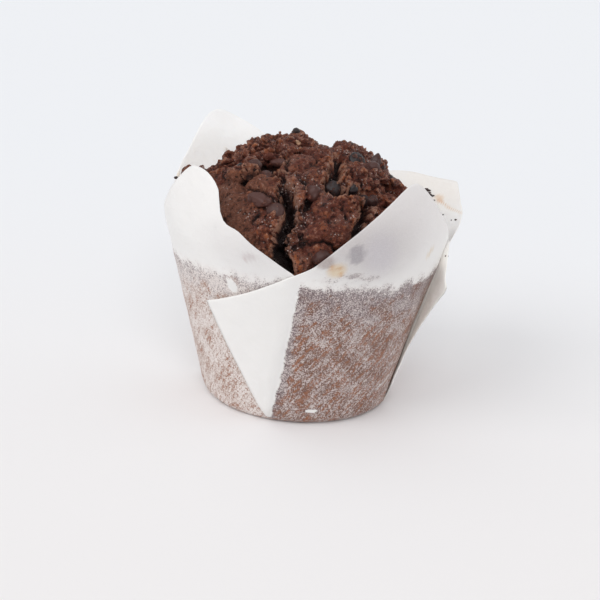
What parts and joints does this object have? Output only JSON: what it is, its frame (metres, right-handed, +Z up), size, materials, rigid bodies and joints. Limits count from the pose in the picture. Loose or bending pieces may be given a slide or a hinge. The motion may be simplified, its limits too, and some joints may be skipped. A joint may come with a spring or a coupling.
{
  "type": "muffin",
  "caption": "Chocolate muffin with a craggy, cracked dome and baked-in chocolate drops, standing in a folded tulip paper case with pointed petals.",
  "frame": {"origin": "middle of the flat underside of the paper case", "axes": "+Z up through the dome; -Y is the front, where two petals meet in a low notch above a flat flap; +X is to the right seen from the front"},
  "size_m": [0.085, 0.0814, 0.075],
  "materials": {
    "greaseproof_paper": "matte, slightly translucent, stained by fat below the rim of the cake",
    "chocolate_cake": null
  },
  "bodies": {
    "root": {"paper_case": "greaseproof_paper", "muffin": "chocolate_cake"}
  },
  "joints": []
}
